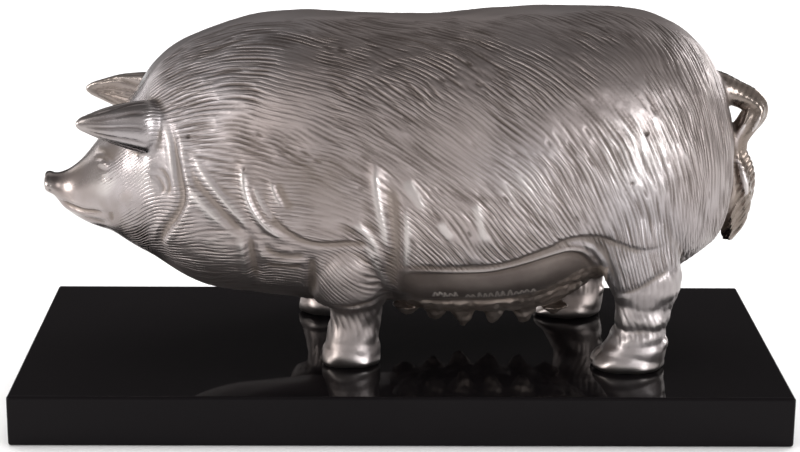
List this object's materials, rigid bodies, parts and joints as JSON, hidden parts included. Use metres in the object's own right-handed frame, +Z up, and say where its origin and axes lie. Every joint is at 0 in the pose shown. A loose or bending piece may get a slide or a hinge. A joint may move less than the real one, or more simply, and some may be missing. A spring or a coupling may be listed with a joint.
{
  "type": "pig figurine",
  "caption": "Standing sow cast in silvered metal with engraved hair, forward ears, folded skin, udder and curled tail, on a flat black rectangular plinth.",
  "frame": {"origin": "middle of the plinth's underside", "axes": "+Z up, -X towards the snout, +X towards the tail, -Y the flank seen in the picture"},
  "size_m": [0.3, 0.14, 0.1574],
  "materials": {
    "silvered_casting": "hand-chased silver plate, polished on the high spots, brown-black patina in the grooves",
    "black_slab": "mirror polished black"
  },
  "bodies": {
    "root": {"pig": "silvered_casting", "plinth": "black_slab"}
  },
  "joints": []
}
